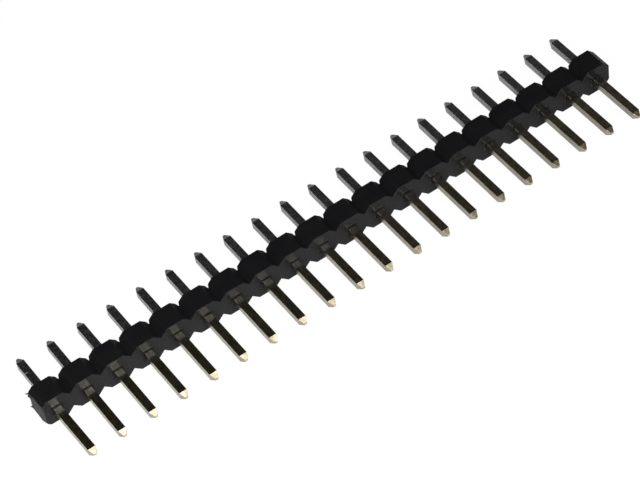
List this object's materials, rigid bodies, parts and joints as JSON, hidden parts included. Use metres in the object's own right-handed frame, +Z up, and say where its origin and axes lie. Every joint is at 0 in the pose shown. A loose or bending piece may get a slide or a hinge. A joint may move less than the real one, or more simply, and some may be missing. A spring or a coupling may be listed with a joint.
{
  "type": "pin header strip",
  "caption": "Straight single-row pin header strip: square gold-plated pins with coined tips in a notched black plastic housing that snaps apart between pins.",
  "frame": {"origin": "Centre of the part's base: middle of the row, on the plane that the housing lies on, level with the housing's mating face.", "axes": "+X along the row, from pin_01 at the snapped end to pin_20 at the moulded end. -Y along the mating posts, +Y along the solder tails. +Z up from the plane that the strip lies on."},
  "size_m": [0.04, 0.0084, 0.002],
  "materials": {
    "housing_plastic": "black moulded plastic, smooth and slightly glossy",
    "pin_plating": "bright drawn wire, thin gold plating on the posts and tin on the tails"
  },
  "bodies": {
    "root": {"housing": "housing_plastic", "pin_01": "pin_plating", "pin_02": "pin_plating", "pin_03": "pin_plating", "pin_04": "pin_plating", "pin_05": "pin_plating", "pin_06": "pin_plating", "pin_07": "pin_plating", "pin_08": "pin_plating", "pin_09": "pin_plating", "pin_10": "pin_plating", "pin_11": "pin_plating", "pin_12": "pin_plating", "pin_13": "pin_plating", "pin_14": "pin_plating", "pin_15": "pin_plating", "pin_16": "pin_plating", "pin_17": "pin_plating", "pin_18": "pin_plating", "pin_19": "pin_plating", "pin_20": "pin_plating"}
  },
  "joints": []
}
